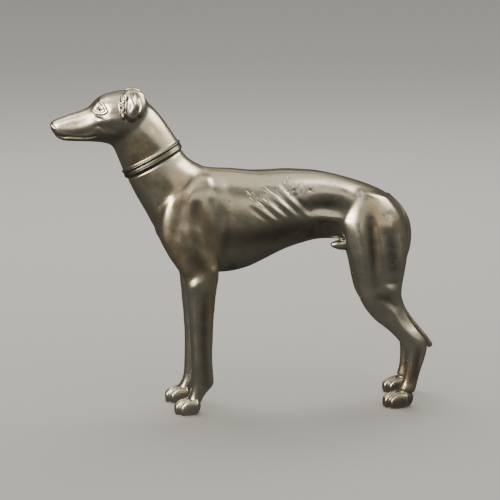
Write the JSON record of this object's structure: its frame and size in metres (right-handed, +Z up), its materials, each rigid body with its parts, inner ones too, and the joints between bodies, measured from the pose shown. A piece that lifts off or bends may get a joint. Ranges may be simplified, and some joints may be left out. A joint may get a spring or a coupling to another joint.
{
  "type": "greyhound statue",
  "caption": "Cast metal figure of a standing greyhound with a band collar, its tail tucked down between the hind legs.",
  "frame": {"origin": "on the ground under the middle of the statue's bounding box", "axes": "+Z up; the head points along -X and the dog's left side faces -Y"},
  "size_m": [0.2536, 0.0506, 0.2127],
  "materials": {
    "silvered_metal": "worn satin silvering with darker patina in the hollows"
  },
  "bodies": {
    "root": {"greyhound": "silvered_metal"}
  },
  "joints": []
}
